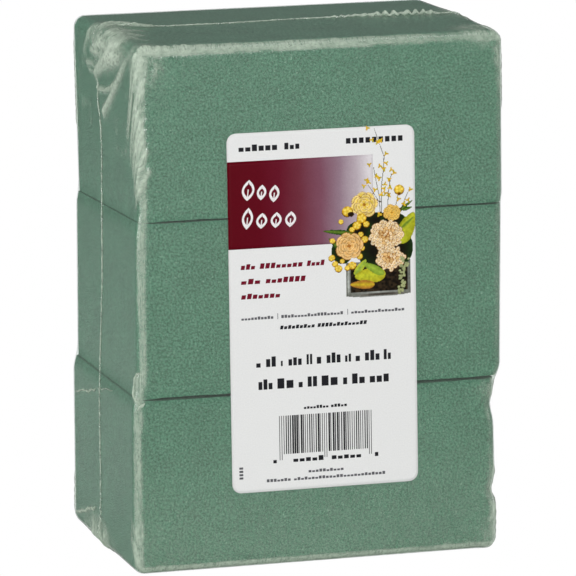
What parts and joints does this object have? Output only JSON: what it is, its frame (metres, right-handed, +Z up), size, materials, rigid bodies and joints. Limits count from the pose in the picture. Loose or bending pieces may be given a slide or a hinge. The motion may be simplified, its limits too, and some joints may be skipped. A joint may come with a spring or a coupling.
{
  "type": "floral foam block pack",
  "caption": "Stack of dry floral foam blocks held in clear shrink film with a heat-sealed seam, with a paper label on the front.",
  "frame": {"origin": "middle of the bottom face, on the surface that the pack stands on", "axes": "+Z up the stack, -Y out of the label's face, +X to the right as the label is read"},
  "size_m": [0.1017, 0.0714, 0.1386],
  "materials": {
    "foam": "dry open-pored foam, sage green, fully matt",
    "film": "clear glossy shrink film, slightly hazy where it is pulled over the edges",
    "film_seal": "fused and shrivelled film, whitish",
    "adhesive": "thin clear pressure-sensitive adhesive",
    "label": "semi-gloss coated white label paper with a burgundy band"
  },
  "bodies": {
    "root": {"foam_block_bottom": "foam", "foam_block_middle": "foam", "foam_block_top": "foam", "shrink_film_front": "film", "shrink_film_back": "film", "film_seal_bead": "film_seal", "label_adhesive": "adhesive", "label_paper": "label"}
  },
  "joints": []
}
